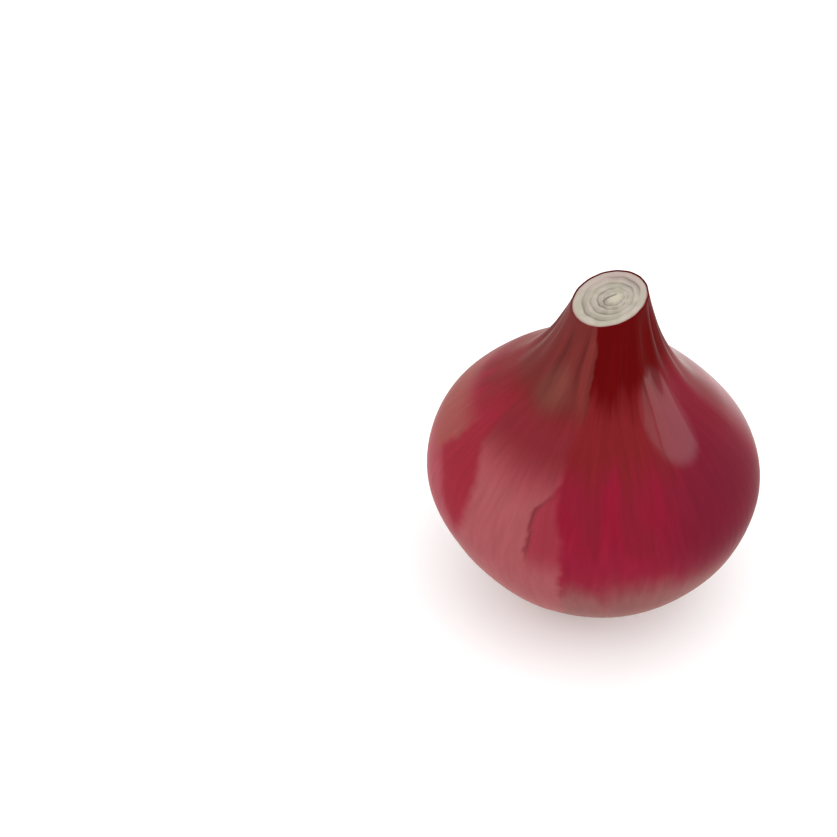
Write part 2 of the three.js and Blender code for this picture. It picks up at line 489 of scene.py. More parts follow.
@dataclass(frozen=True)
class DrySkinFinish:
    """Dry outer skin of a red onion, cured after harvest: papery, waxy and tight over the belly.

    The eye gets a clear gloss only where the wax was rubbed smooth in handling, and a faint pale bloom
    at grazing angles. The belly is crimson and the neck maroon, and the skin is paler and pinker where
    the outermost layer has come loose from the one below. Some of the colour is painted light: painted
    reflections on the loose layer, the left shoulder, the left of the neck and low round the belly,
    painted shade on the right of the belly, a painted shadow along the loose layer's edge, and painted
    shade and light in the neck's creases.
    """

    belly: str = "84142b"
    belly_warm: str = "7c182a"
    warm_clouds: Span = (0.4, 0.62)
    tones: tuple[Tone, ...] = (
        Tone("84192f", gone=44, full=37), Tone("751b20", gone=50, full=57),
        # the pale brownish pink tone that covers the skin below 22 mm and fades out by 36 mm is partly
        # paler skin near the base and partly a painted reflection of the table
        Tone("5b0103", gone=60, full=69), Tone("844c4b", gone=36, full=22),
        Tone("9a5a48", gone=10, full=1),
    )
    stains_and_painted_light: tuple[StainAndPaintedLight, ...] = (
        StainAndPaintedLight("crimson_shoulder", "781628", Patch(turn=-30, height=56, wide=24, tall=8.5, soft=1.1)),
        # deeper crimson on the right of the belly: partly the skin's own colour, partly painted shade on
        # the side away from the left window
        StainAndPaintedLight("crimson_and_shade_side", "6c1428", Patch(turn=-40, height=41, wide=28, tall=13, soft=1.1)),
        StainAndPaintedLight("left_side", "882230", Patch(turn=-160, height=42, wide=26, tall=15, soft=0.9)),
        StainAndPaintedLight("pale_side", "96404a", Strip(
            left=((0, -215), (60, -215)),
            right=((33, -148), (37.3, -156), (41, -161), (42.6, -166), (44, -172)),
            soft_left=30, soft_right=8, low=(18, 30), high=(39, 46), ragged=0.0,
        )),
        # paler tan high on the left shoulder: partly tan skin, partly a painted reflection of the pale
        # table behind
        StainAndPaintedLight("tan_and_reflection_shoulder", "8c4340", Strip(
            left=((38, -228), (54, -218)),
            right=((38, -176), (42, -171), (46, -168), (54, -164)),
            soft_left=34, soft_right=6, low=(38.5, 43), high=(47, 53), ragged=1.2,
        )),
        StainAndPaintedLight("pale_back", "8c3440", Strip(
            left=((0, 50), (60, 57)),
            right=((0, 90), (30, 87), (46, 80), (60, 78)),
            soft_left=14, soft_right=3, low=(8, 24), high=(40, 56),
        )),
        StainAndPaintedLight("torn_layer", "8c2e3a", Strip(
            left=((26, -120), (50, -120)),
            right=((26, -104), (42.6, -107), (45, -109), (47, -111), (50, -110)),
            soft_left=2, soft_right=3, low=(26, 40), high=(47, 51),
        )),
        StainAndPaintedLight("loose_high", "77222a", Strip(
            left=((45, -155), (60, -158)),
            right=((50, -112), (60, -111)),
            soft_left=6, soft_right=5, low=(47, 53), high=(56, 62),
        )),
        # paler pink where the outer layer has come loose: partly its own colour, partly a painted
        # reflection of the left window
        StainAndPaintedLight("loose_layer_and_reflection", "964b4f", Strip(
            left=((0, -150), (29.5, -146), (38, -142), (45, -144), (50, -153), (60, -157)),
            right=(
                (0, -112), (33, -116.5), (46.5, -118), (48, -115), (49.3, -113), (51, -111), (60, -111),
            ),
            soft_left=6, soft_right=1.8, low=(4, 14), high=(45, 55),
        )),
        # a painted shadow: a thin darker line along the lifted right edge of the loose layer
        StainAndPaintedLight("torn_edge_shadow", "752a32", Strip(
            left=((33, -117.2), (46.5, -118.7), (48, -115.7), (49.3, -113.7), (51, -111.7)),
            right=((33, -115.8), (46.5, -117.3), (48, -114.3), (49.3, -112.3), (51, -110.3)),
            soft_left=1, soft_right=1, low=(33, 40), high=(46, 52),
        )),
        # the foot of the loose layer: partly pale loose skin, partly a painted reflection of the table,
        # whose edge gives its straight right side
        StainAndPaintedLight("loose_foot_and_reflection", "964b4f", Strip(
            left=((0, -135), (40, -135)),
            right=((0, -105), (40, -106)),
            soft_left=20, soft_right=2.5, low=(4, 14), high=(32, 40), ragged=0.8,
        )),
        # brownish cover on the left of the neck: partly dry brown skin, partly a painted reflection of the
        # left window
        StainAndPaintedLight("neck_cover_and_reflection", "672624", Strip(
            left=((60, -195), (80, -195)),
            right=((59, -107), (62, -106), (66.5, -108), (70.5, -109), (75.5, -110), (80.5, -117)),
            soft_left=20, soft_right=1.6, low=(57, 64), high=(90, 91), ragged=0.8,
        )),
        # lighter tan at the left foot of the neck: partly tan skin, partly a painted sheen standing in for
        # the left window's gloss
        StainAndPaintedLight("tan_and_sheen_neck_foot", "6d352f", Patch(turn=-139, height=65.5, wide=14, tall=5.5, soft=1.2)),
    )
    # mm that a tone's edge moves up and down across the clouds and the veins, so that none is a ring
    cloud_wander: float = 14.0
    vein_wander: float = 3.0
    # painted shade at the foot of a drawn crease and painted light on its ridge, as brightness, and how far
    # from the skin these lie in mm
    crease_painted_shade: Span = (0.74, 1.2)
    crease_height: float = 0.2
    # brightness along a vein and between veins, and the marks' own range that this is spread over
    vein_shade: Span = (0.9, 1.04)
    vein_range: Span = (0.3, 0.7)
    clouds: Pattern = Pattern(spacing=6, length=15, detail=2)
    veins: Pattern = Pattern(spacing=1.4, length=7, detail=3)
    # the skin's own rows of cells lie about 0.1 mm apart, too fine to show, so these are coarser
    fibres: Pattern = Pattern(spacing=0.6, length=12, detail=2)
    fibre_relief: float = 0.35
    relief_depth: float = 0.1
    relief_strength: float = 0.25
    belly_radius: float = 40.0
    roughness: float = 0.42
    fibre_roughness: float = 0.1
    skin_index: float = 1.45
    skin_shine: float = 0.04
    wax: float = 0.4
    wax_roughness: float = 0.1
    wax_index: float = 1.5
    bloom: float = 0.19
    bloom_roughness: float = 0.25
    bloom_tint: str = "ceccb0"

    def marks(self, tree: bpy.types.NodeTree) -> Sockets:
        """Draws the marks of the skin, stretched along the way it grew.

        Args:
            tree: The material's node tree.

        Returns:
            The strength of each kind of mark and the height above the base, by name.
        """
        growth = add_node(tree, "ShaderNodeAttribute", {"attribute_name": "growth"}).outputs["Vector"]
        marks = {"height": add_node(tree, "ShaderNodeSeparateXYZ", None, {0: growth}).outputs["Z"]}
        for name, pattern in (("clouds", self.clouds), ("veins", self.veins), ("fibres", self.fibres)):
            tight = self.belly_radius / pattern.spacing
            drawn = add_node(
                tree, "ShaderNodeVectorMath", {"operation": "MULTIPLY"},
                {0: growth, 1: (tight, tight, 1 / pattern.length)},
            )
            noise = add_node(
                tree, "ShaderNodeTexNoise", None,
                {"Vector": drawn.outputs["Vector"], "Scale": 1.0, "Detail": pattern.detail},
            )
            marks[name] = noise.outputs["Fac"]
        return marks

    def wandering_height(self, tree: bpy.types.NodeTree, marks: Sockets) -> bpy.types.NodeSocket:
        """Gives the height above the base in mm, moved up and down across the clouds and veins.

        Args:
            tree: The material's node tree.
            marks: What marks() gives.

        Returns:
            The height by which the tones are laid on.
        """
        raised = marks["height"]
        for wander, mark in ((self.cloud_wander, "clouds"), (self.vein_wander, "veins")):
            raised = add_node(
                tree, "ShaderNodeMath", {"operation": "MULTIPLY_ADD"},
                {0: marks[mark], 1: wander, 2: raised},
            ).outputs["Value"]
        mean_rise = (self.cloud_wander + self.vein_wander) / 2
        return add_node(
            tree, "ShaderNodeMath", {"operation": "SUBTRACT"}, {0: raised, 1: mean_rise}
        ).outputs["Value"]

    def colour_with_painted_light(self, tree: bpy.types.NodeTree, marks: Sockets) -> bpy.types.NodeSocket:
        """Colours the skin: its tones by height, then its stains and its painted light and shade, one over
        the other.

        Args:
            tree: The material's node tree.
            marks: What marks() gives.

        Returns:
            The colour, before the shade of the creases and veins.
        """
        warm_from, warm_to = self.warm_clouds
        warm = add_node(
            tree, "ShaderNodeMapRange", {"interpolation_type": "SMOOTHSTEP"},
            {"Value": marks["clouds"], "From Min": warm_from, "From Max": warm_to},
        )
        colour = add_node(
            tree, "ShaderNodeMix", {"data_type": "RGBA"},
            {0: warm.outputs["Result"], MIX_FIRST: linear(self.belly), MIX_SECOND: linear(self.belly_warm)},
        ).outputs[MIX_RESULT]
        height = self.wandering_height(tree, marks)
        covers = []
        for tone in self.tones:
            cover = add_node(
                tree, "ShaderNodeMapRange", {"interpolation_type": "SMOOTHSTEP"},
                {"Value": height, "From Min": tone.gone, "From Max": tone.full},
            )
            covers.append((cover.outputs["Result"], tone.colour))
        for overlay in self.stains_and_painted_light:
            cover = add_node(tree, "ShaderNodeAttribute", {"attribute_name": overlay.name})
            covers.append((cover.outputs["Fac"], overlay.colour))
        for cover, hex_colour in covers:
            colour = add_node(
                tree, "ShaderNodeMix", {"data_type": "RGBA"},
                {0: cover, MIX_FIRST: colour, MIX_SECOND: linear(hex_colour)},
            ).outputs[MIX_RESULT]
        return colour

    def brightness(self, tree: bpy.types.NodeTree, marks: Sockets) -> bpy.types.NodeSocket:
        """Gives how bright the skin is: painted shade in the creases, painted light on their ridges, and
        darker along the veins.

        Args:
            tree: The material's node tree.
            marks: What marks() gives.

        Returns:
            A number by which the colour is multiplied.
        """
        crease = add_node(tree, "ShaderNodeAttribute", {"attribute_name": "crease"}).outputs["Fac"]
        deep, high = self.crease_painted_shade
        by_crease = add_node(
            tree, "ShaderNodeMapRange", None,
            {
                "Value": crease, "From Min": -self.crease_height, "From Max": self.crease_height,
                "To Min": deep, "To Max": high,
            },
        )
        dark, pale = self.vein_shade
        weak, strong = self.vein_range
        by_vein = add_node(
            tree, "ShaderNodeMapRange", None,
            {"Value": marks["veins"], "From Min": weak, "From Max": strong, "To Min": pale, "To Max": dark},
        )
        return add_node(
            tree, "ShaderNodeMath", {"operation": "MULTIPLY"},
            {0: by_crease.outputs["Result"], 1: by_vein.outputs["Result"]},
        ).outputs["Value"]

    def make(self) -> bpy.types.Material:
        """Builds the material.

        Returns:
            The dry skin's material.
        """
        material, tree, shader = new_material("cured_dry_onion_skin")
        marks = self.marks(tree)
        colour = add_node(
            tree, "ShaderNodeHueSaturation", None,
            {"Value": self.brightness(tree, marks), "Color": self.colour_with_painted_light(tree, marks)},
        )
        relief = add_node(
            tree, "ShaderNodeMath", {"operation": "MULTIPLY_ADD"},
            {0: marks["fibres"], 1: self.fibre_relief, 2: marks["veins"]},
        )
        bump = add_node(
            tree, "ShaderNodeBump", None,
            {
                "Strength": self.relief_strength, "Distance": self.relief_depth * MM,
                "Height": relief.outputs["Value"],
            },
        )
        rough = add_node(
            tree, "ShaderNodeMath", {"operation": "MULTIPLY_ADD"},
            {0: marks["fibres"], 1: self.fibre_roughness, 2: self.roughness},
        )
        polish = add_node(tree, "ShaderNodeAttribute", {"attribute_name": "polish"}).outputs["Fac"]
        coat = add_node(tree, "ShaderNodeMath", {"operation": "MULTIPLY"}, {0: polish, 1: self.wax})
        tree.links.new(colour.outputs["Color"], shader.inputs["Base Color"])
        tree.links.new(rough.outputs["Value"], shader.inputs["Roughness"])
        tree.links.new(bump.outputs["Normal"], shader.inputs["Normal"])
        tree.links.new(coat.outputs["Value"], shader.inputs["Coat Weight"])
        fixed = {
            "IOR": self.skin_index, "Specular IOR Level": self.skin_shine,
            "Coat Roughness": self.wax_roughness, "Coat IOR": self.wax_index,
            "Sheen Weight": self.bloom, "Sheen Roughness": self.bloom_roughness,
            "Sheen Tint": linear(self.bloom_tint),
        }
        for name, value in fixed.items():
            shader.inputs[name].default_value = value
        return material


@dataclass(frozen=True)
class ScaleFleshFinish:
    """Fleshy scales cut with a knife: wet cells that let light in, with a thin skin between scales.

    The eye gets a soft cream face with grey-brown lines, painted shade on the inner side of each line, and
    a pink blush towards the dry skin.
    """

    cream: str = "ada397"
    green: str = "a29c8b"
    heart: str = "b2ab98"
    pink: str = "a5918a"
    edge: str = "a68a82"
    line: str = "6e6458"
    patch_spacing: float = 3.0
    green_patches: Span = (0.44, 0.58)
    # the cut cells are about 0.1 mm across, too fine to show, so these are coarser
    cell_spacing: float = 0.4
    cell_depth: float = 0.05
    cell_strength: float = 0.3
    roughness: float = 0.45
    light_share: float = 0.2
    light_spread: Triple = (1.0, 0.8, 0.6)
    light_depth: float = 0.9

    def make(self) -> bpy.types.Material:
        """Builds the material.

        Returns:
            The flesh's material.
        """
        material, tree, shader = new_material("knife_cut_scale_flesh")
        fields = {
            name: add_node(tree, "ShaderNodeAttribute", {"attribute_name": name}).outputs["Fac"]
            for name in ("line_and_shade", "blush", "edge", "eye")
        }
        place = add_node(tree, "ShaderNodeTexCoord").outputs["Object"]
        patches = add_node(
            tree, "ShaderNodeTexNoise", None,
            {"Vector": place, "Scale": 1 / (self.patch_spacing * MM), "Detail": 3.0},
        )
        cells = add_node(
            tree, "ShaderNodeTexNoise", None,
            {"Vector": place, "Scale": 1 / (self.cell_spacing * MM), "Detail": 2.0},
        )
        green_from, green_to = self.green_patches
        green = add_node(
            tree, "ShaderNodeMapRange", {"interpolation_type": "SMOOTHSTEP"},
            {"Value": patches.outputs["Fac"], "From Min": green_from, "From Max": green_to},
        )
        colour = linear(self.cream)
        # the line colour is laid both on the lines between the scales and as painted shade beside them
        covers = (
            (green.outputs["Result"], self.green), (fields["eye"], self.heart),
            (fields["blush"], self.pink), (fields["edge"], self.edge), (fields["line_and_shade"], self.line),
        )
        for cover, hex_colour in covers:
            colour = add_node(
                tree, "ShaderNodeMix", {"data_type": "RGBA"},
                {0: cover, MIX_FIRST: colour, MIX_SECOND: linear(hex_colour)},
            ).outputs[MIX_RESULT]
        bump = add_node(
            tree, "ShaderNodeBump", None,
            {
                "Strength": self.cell_strength, "Distance": self.cell_depth * MM,
                "Height": cells.outputs["Fac"],
            },
        )
        tree.links.new(colour, shader.inputs["Base Color"])
        tree.links.new(bump.outputs["Normal"], shader.inputs["Normal"])
        shader.inputs["Roughness"].default_value = self.roughness
        shader.inputs["Subsurface Weight"].default_value = self.light_share
        shader.inputs["Subsurface Radius"].default_value = self.light_spread
        shader.inputs["Subsurface Scale"].default_value = self.light_depth * MM
        return material


@dataclass(frozen=True)
class DryRootFinish:
    """Roots dried to stiff fibres: woody, dull and grey-green, mottled darker where their relief sinks."""

    pale: str = "8a8a72"
    dark: str = "45483a"
    mottle_spacing: float = 1.5
    mottle_depth: float = 0.1
    mottle_strength: float = 0.6
    roughness: float = 0.85

    def make(self) -> bpy.types.Material:
        """Builds the material.

        Returns:
            The dry roots' material.
        """
        material, tree, shader = new_material("dried_root_fibre")
        place = add_node(tree, "ShaderNodeTexCoord").outputs["Object"]
        mottle = add_node(
            tree, "ShaderNodeTexNoise", None,
            {"Vector": place, "Scale": 1 / (self.mottle_spacing * MM), "Detail": 4.0},
        )
        colour = add_node(
            tree, "ShaderNodeMix", {"data_type": "RGBA"},
            {0: mottle.outputs["Fac"], MIX_FIRST: linear(self.dark), MIX_SECOND: linear(self.pale)},
        )
        bump = add_node(
            tree, "ShaderNodeBump", None,
            {
                "Strength": self.mottle_strength, "Distance": self.mottle_depth * MM,
                "Height": mottle.outputs["Fac"],
            },
        )
        tree.links.new(colour.outputs[MIX_RESULT], shader.inputs["Base Color"])
        tree.links.new(bump.outputs["Normal"], shader.inputs["Normal"])
        shader.inputs["Roughness"].default_value = self.roughness
        return material


@dataclass(frozen=True)
class OpalAcrylicFinish:
    """Cast opal acrylic, sanded dull and lit from below: the eye gets a white sheet with faint shadows."""

    colour: str = "fdfdfd"
    glow: float = 0.05
    roughness: float = 0.8
    shine: float = 0.1

    def make(self) -> bpy.types.Material:
        """Builds the material of the table."""
        material, _, shader = new_material("backlit_opal_acrylic")
        shader.inputs["Base Color"].default_value = linear(self.colour)
        shader.inputs["Roughness"].default_value = self.roughness
        shader.inputs["Specular IOR Level"].default_value = self.shine
        shader.inputs["Emission Color"].default_value = (1, 1, 1, 1)
        shader.inputs["Emission Strength"].default_value = self.glow
        return material


@dataclass(frozen=True)
class DrySkin:
    """The dry skin from the base to the cut, with the thin rim that stands round the cut."""

    form: BulbForm = field(default_factory=BulbForm)
    finish: DrySkinFinish = field(default_factory=DrySkinFinish)
    around: int = 360
    rows: int = 180
    rim_thickness: float = 0.24
    rim_depth: float = 2.6
    rim_rise: float = 0.04
    rim_drop: float = 0.05
    rim_calm: float = 0.15
    rim_calm_range: Span = (75, 80)
    # drawn in by this much, so that the ridges stay inside the solid's box
    inset: float = 0.03
    seed: int = 11
    fine_creases: int = 60
    fine_height: Span = (0.02, 0.07)
    fine_width: Span = (1.4, 3.0)
    fine_end: Span = (60, 71)
    fine_start: Span = (72, 77)
    fine_fade: Span = (74, 79)
    fine_bend: float = 4.0
    veins: int = 96
    vein_height: float = 0.02
    veins_start: Span = (1, 8)
    veins_end: Span = (34, 48)
    creases: tuple[Crease, ...] = (
        Crease(-115, -106, 7.0, 0.36, 54, drop=4.0), Crease(-124, -115, 2.6, -0.22, 58),
        Crease(-149, -142, 3.6, -0.22, 56), Crease(-136, -132, 4.0, 0.14, 58),
        Crease(-91, -86, 2.5, 0.08, 64), Crease(-76, -72, 2.5, 0.08, 66),
        Crease(-22, -16, 3.0, 0.14, 54), Crease(-27, -22, 2.5, -0.1, 56),
    )
    lifts: tuple[tuple[str, float], ...] = (("loose_layer_and_reflection", 0.14), ("torn_layer", 0.05))
    # where the wax is rubbed smooth
    rubs: tuple[Patch, ...] = (
        Patch(turn=-51, height=60, wide=17, tall=8, soft=0.3),
        Patch(turn=24, height=47, wide=28, tall=15, soft=0.9),
    )

    def small_creases(self) -> tuple[Crease, ...]:
        """Draws the many small creases round the neck by a seeded rule."""
        draw = np.random.default_rng(self.seed)
        made = []
        for i in range(self.fine_creases):
            top = -180 + 360 * (i + draw.uniform(-0.4, 0.4)) / self.fine_creases
            foot = top + draw.uniform(-self.fine_bend, self.fine_bend)
            height = draw.uniform(*self.fine_height) * draw.choice([-1, 1])
            width = draw.uniform(*self.fine_width)
            end = draw.uniform(*self.fine_end)
            start = draw.uniform(*self.fine_start)
            made.append(Crease(top, foot, width, height, end, start))
        return tuple(made)

    def neck_relief(self, height: np.ndarray, turn: np.ndarray) -> np.ndarray:
        """Gives the relief of the drawn creases, which flatten where the knife cut the neck.

        Args:
            height: Height above the base in mm.
            turn: Angle round the bulb in degrees.

        Returns:
            Relief in mm.
        """
        calm = 1 - (1 - self.rim_calm) * smoothstep(height, *self.rim_calm_range)
        small = 1 - smoothstep(height, *self.fine_fade)
        relief = calm * self.form.crease_relief(self.creases, height, turn)
        return relief + small * self.form.crease_relief(self.small_creases(), height, turn)

    def vein_relief(self, height: np.ndarray, azimuth: np.ndarray) -> np.ndarray:
        """Gives the low veins that run from base to neck.

        Args:
            height: Height above the base in mm.
            azimuth: Angle round the bulb in radians.

        Returns:
            Relief in mm.
        """
        # waves of unlike lengths bend the veins and make some stand out more than others
        wander = 0.5 * np.sin(3 * azimuth + height / 21) + 0.4 * np.sin(7 * azimuth - height / 13 + 1)
        strong = 0.55 + 0.45 * np.sin(5 * azimuth + 2.2) * np.sin(11 * azimuth + 0.4)
        share = smoothstep(height, *self.veins_start) * (1 - smoothstep(height, *self.veins_end))
        return self.vein_height * share * strong * np.cos(self.veins * azimuth + wander)

    def build(self) -> bpy.types.Object:
        """Builds and dresses the skin.

        Returns:
            The skin, standing for the bulb's solid.
        """
        form = self.form
        inner = form.rim_radius - self.rim_thickness
        wall = form.neck_taper * self.rim_depth
        top = form.cut_height
        inside = [
            (form.rim_radius - 0.3 * self.rim_thickness, top + self.rim_rise),
            (form.rim_radius - 0.7 * self.rim_thickness, top + self.rim_rise),
            (inner, top - self.rim_drop),
            (inner + 0.5 * wall, top - 0.5 * self.rim_depth),
            (inner + wall, top - self.rim_depth),
            (0.0, top - self.rim_depth),
        ]
        outline = np.vstack([form.side_curve(self.rows), np.array(inside)])
        around = np.linspace(-math.pi, math.pi, self.around, endpoint=False)[None, :]
        azimuth = around + 0 * outline[:, :1]
        radius, height = outline[:, :1] + 0 * azimuth, outline[:, 1:] + 0 * azimuth
        turn = np.degrees(azimuth)
        fields = {overlay.name: overlay.place.share(height, turn) for overlay in self.finish.stains_and_painted_light}
        fields["polish"] = np.max([rub.share(height, turn) for rub in self.rubs], axis=0)
        fields["crease"] = self.neck_relief(height, turn)
        relief = fields["crease"] + self.vein_relief(height, azimuth) - self.inset
        relief += sum(lift * fields[name] for name, lift in self.lifts)
        points = form.place(radius, height, azimuth, relief)
        piece = mesh_piece("dry_skin", single_poles(points), ring_faces(len(outline), self.around))
        growth = np.stack([np.cos(azimuth), np.sin(azimuth), height], -1)
        set_field(piece, "growth", single_poles(growth))
        for name, values in fields.items():
            set_field(piece, name, single_poles(values))
        piece.data.materials.append(self.finish.make())
        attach(piece, "root")
        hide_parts("bulb")
        return piece


@dataclass(frozen=True)
class RingLine:
    """The thin line where two scales meet on the cut.

    Attributes:
        share: How far out it lies, as a share of the way to the rim.
        width: Half width in mm.
        depth: Depth in mm.
        breaks: How many times it fades round its way.
        turn: Where it is strongest, in degrees.
    """

    share: float
    width: float
    depth: float
    breaks: int
    turn: float


@dataclass(frozen=True)
class CutScales:
    """The cut ends of the fleshy scales, in rings round an eye that lies off the middle."""

    form: BulbForm = field(default_factory=BulbForm)
    finish: ScaleFleshFinish = field(default_factory=ScaleFleshFinish)
    around: int = 200
    rows: int = 84
    gap: float = 0.3
    depth: float = 2.3
    eye_right: float = 0.4
    eye_back: float = -0.95
    lines: tuple[RingLine, ...] = (
        RingLine(0.81, 0.22, 0.14, 2, 215), RingLine(0.6, 0.28, 0.17, 2, 235),
        RingLine(0.42, 0.24, 0.17, 1, 195), RingLine(0.28, 0.2, 0.13, 1, 235),
    )
    wave_counts: tuple[int, int] = (2, 12)
    wander: float = 0.035
    fading: float = 0.6
    faintest: float = 0.15
    seed: int = 5
    step: float = 0.14
    shade: float = 0.5
    shade_width: float = 0.6
    slit_start: Span = (-2.45, -0.2)
    slit_end: Span = (0.3, 1.15)
    slit_width: float = 0.36
    slit_depth: float = 0.26
    slit_bow: float = 0.42
    slit_tip: float = 0.2
    edge_width: float = 0.3
    edge_drop: float = 0.2
    # shares of the way to the rim where each colour starts and where it is full
    edge_reach: Span = (0.94, 0.99)
    heart_reach: Span = (0.16, 0.3)
    blush_reach: Span = (0.5, 0.85)
    blush_strength: float = 0.85
    blush_turn: float = 70.0

    def plan(self, points: np.ndarray, azimuth: np.ndarray) -> tuple[np.ndarray, np.ndarray, np.ndarray]:
        """Gives where each point of the face lies among the rings.

        Args:
            points: Points of the face in mm.
            azimuth: Angle round the neck in radians.

        Returns:
            Mm to the right of and behind the rings' own middle, and the share of the way to the rim.
        """
        form = self.form
        top = np.full(azimuth.shape, form.cut_height)
        edge = (form.rim_radius - self.gap) / (1 + form.neck_taper * form.rise_at(top, azimuth))
        right = points[..., 0] - form.sway_at(top)
        back = points[..., 1] - form.back_lean
        pull = np.clip(1 - np.hypot(right, back) / edge, 0, 1)
        right = right - self.eye_right * pull
        back = back - self.eye_back * pull
        return right, back, np.hypot(right, back) / edge

    def wave(self, turn: np.ndarray, draw: np.random.Generator) -> np.ndarray:
        """Draws an uneven wave round the eye.

        Args:
            turn: Angle round the eye in radians.
            draw: The seeded source of random numbers.

        Returns:
            The wave, which seldom goes beyond -1 or 1.
        """
        wave = np.zeros_like(turn)
        fewest, most = self.wave_counts
        for count in range(fewest, most + 1):
            height = draw.uniform(0.2, 0.5)
            wave += height * np.sin(count * turn + draw.uniform(0, 2 * math.pi)) / math.sqrt(count)
        return wave

    def face(
        self, right: np.ndarray, back: np.ndarray, share: np.ndarray
    ) -> tuple[np.ndarray, np.ndarray]:
        """Gives the relief of the cut face, and how far each point is covered by a line and the painted
        shade beside it.

        Args:
            right: Mm to the right of the rings' middle.
            back: Mm behind it.
            share: Share of the way to the rim.

        Returns:
            Relief in mm, and a share from 0 to 1 that is 1 in a line and less in the painted shade on its
            inner side.
        """
        turn = np.arctan2(back, right)
        edge = self.form.rim_radius - self.gap
        relief = np.zeros_like(share)
        line_and_shade = np.zeros_like(share)
        draw = np.random.default_rng(self.seed)
        for line in self.lines:
            out = (share - line.share - self.wander * self.wave(turn, draw)) * edge
            away = out / line.width
            strength = 0.7 + 0.3 * np.cos(line.breaks * (turn - math.radians(line.turn)))
            strength = strength * np.clip(0.9 + self.fading * self.wave(turn, draw), self.faintest, 1.0)
            # painted shade: a darker band on the inner side of each line, where the step between the scales
            # would shade the face
            shade = self.shade * np.exp(-(((out + 0.6 * self.shade_width) / self.shade_width) ** 2))
            line_and_shade = np.maximum(line_and_shade, strength * np.maximum(shade, np.exp(-(away**2))))
            relief -= strength * line.depth * np.exp(-(away**2))
            # the outer of the two scales stands a little higher beside the line
            relief += self.step * strength * np.exp(-(((away - 2.2) / 1.8) ** 2)) * 0.5
        start, end = np.array(self.slit_start), np.array(self.slit_end)
        way = end - start
        along = ((right - start[0]) * way[0] + (back - start[1]) * way[1]) / (way @ way)
        bow = self.slit_bow * np.sin(math.pi * np.clip(along, 0, 1))
        across = ((back - start[1]) * way[0] - (right - start[0]) * way[1]) / math.hypot(*way) - bow
        beyond = np.maximum(0, np.abs(along - 0.5) - 0.5) * math.hypot(*way)
        # the slit gapes at its start and narrows to half towards its end
        width = self.slit_width * (1.1 - 0.6 * np.clip(along, 0, 1))
        slit = np.exp(-((across / width) ** 2) - (beyond / self.slit_tip) ** 2)
        return relief - self.slit_depth * slit, np.maximum(line_and_shade, slit)

    def build(self) -> bpy.types.Object:
        """Builds and dresses the cut face.

        Returns:
            The cut scales, standing for the flesh's solid.
        """
        form = self.form
        edge = form.rim_radius - self.gap
        floor = form.cut_height - self.depth
        wall = edge + form.neck_taper * self.depth
        below = [(0.0, floor), (wall, floor)]
        across = [(edge * (1 - i / self.rows), form.cut_height) for i in range(self.rows + 1)]
        outline = np.array(below + across)
        azimuth = np.linspace(-math.pi, math.pi, self.around, endpoint=False)[None, :] + 0 * outline[:, :1]
        radius, height = outline[:, :1] + 0 * azimuth, outline[:, 1:] + 0 * azimuth
        turn = np.degrees(azimuth)
        out = radius / edge
        skin = DrySkin().neck_relief(height, turn)
        folds = form.fold_relief(height, turn)
        points = form.place(radius, height, azimuth, np.minimum(out, 1) ** 3 * (skin + folds) - folds)
        right, back, share = self.plan(points, azimuth)
        relief, line_and_shade = self.face(right, back, share)
        on_face = (np.arange(len(outline)) >= len(below))[:, None]
        sunk = 1 - smoothstep(edge - radius, 0.0, self.edge_width)
        points[..., 2] += np.where(on_face, relief * (1 - sunk) - self.edge_drop * sunk, 0)
        piece = mesh_piece("cut_scales", single_poles(points), ring_faces(len(outline), self.around))
        blush_side = 0.5 + 0.5 * np.cos(azimuth - math.radians(self.blush_turn))
        blush = self.blush_strength * smoothstep(share, *self.blush_reach) * blush_side**2
        set_field(piece, "line_and_shade", single_poles(np.where(on_face, line_and_shade, 0)))
        set_field(piece, "blush", single_poles(blush))
        set_field(piece, "edge", single_poles(smoothstep(out, *self.edge_reach)))
        set_field(piece, "eye", single_poles(1 - smoothstep(share, *self.heart_reach)))
        piece.data.materials.append(self.finish.make())
        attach(piece, "root")
        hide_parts("neck_flesh")
        return piece


